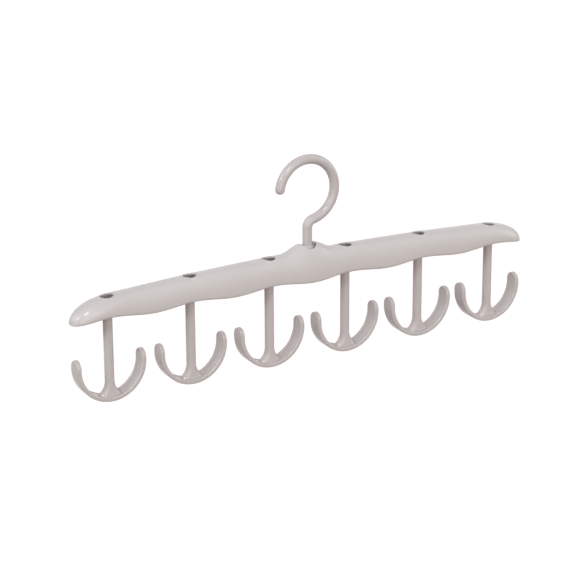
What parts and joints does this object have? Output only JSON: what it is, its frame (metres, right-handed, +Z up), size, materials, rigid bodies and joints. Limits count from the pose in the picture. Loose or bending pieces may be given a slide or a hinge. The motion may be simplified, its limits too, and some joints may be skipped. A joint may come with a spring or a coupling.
{
  "type": "tie hanger",
  "caption": "Straight moulded hanger with a rod hook on top and a row of swivelling anchor-shaped hooks below, for ties, belts and scarves.",
  "frame": {"origin": "the point where a closet rod bears on the main hook: the crown of the inner side of its loop", "axes": "+X along the beam, +Y from the beam's front to its back along the closet rod, +Z up; the loop opens towards -X"},
  "size_m": [0.3532, 0.0216, 0.1436],
  "materials": {
    "beam_plastic": "satin",
    "hook_plastic": "satin"
  },
  "bodies": {
    "main_hook": {"main_hook": "hook_plastic"},
    "beam": {"beam": "beam_plastic"},
    "anchor_1": {"anchor_hook_1": "hook_plastic"},
    "anchor_2": {"anchor_hook_2": "hook_plastic"},
    "anchor_3": {"anchor_hook_3": "hook_plastic"},
    "anchor_4": {"anchor_hook_4": "hook_plastic"},
    "anchor_5": {"anchor_hook_5": "hook_plastic"},
    "anchor_6": {"anchor_hook_6": "hook_plastic"}
  },
  "joints": [
    {"name": "hook_swivel", "type": "hinge", "parent": "main_hook", "child": "beam", "pos_m": [0, 0, -0.0655], "axis": [0, 0, 1], "continuous": true},
    {"name": "anchor_1_swivel", "type": "hinge", "parent": "beam", "child": "anchor_1", "pos_m": [-0.15, 0, -0.0766], "axis": [0, 0, 1], "continuous": true},
    {"name": "anchor_2_swivel", "type": "hinge", "parent": "beam", "child": "anchor_2", "pos_m": [-0.09, 0, -0.0766], "axis": [0, 0, 1], "continuous": true},
    {"name": "anchor_3_swivel", "type": "hinge", "parent": "beam", "child": "anchor_3", "pos_m": [-0.03, 0, -0.0766], "axis": [0, 0, 1], "continuous": true},
    {"name": "anchor_4_swivel", "type": "hinge", "parent": "beam", "child": "anchor_4", "pos_m": [0.03, 0, -0.0766], "axis": [0, 0, 1], "continuous": true},
    {"name": "anchor_5_swivel", "type": "hinge", "parent": "beam", "child": "anchor_5", "pos_m": [0.09, 0, -0.0766], "axis": [0, 0, 1], "continuous": true},
    {"name": "anchor_6_swivel", "type": "hinge", "parent": "beam", "child": "anchor_6", "pos_m": [0.15, 0, -0.0766], "axis": [0, 0, 1], "continuous": true}
  ]
}
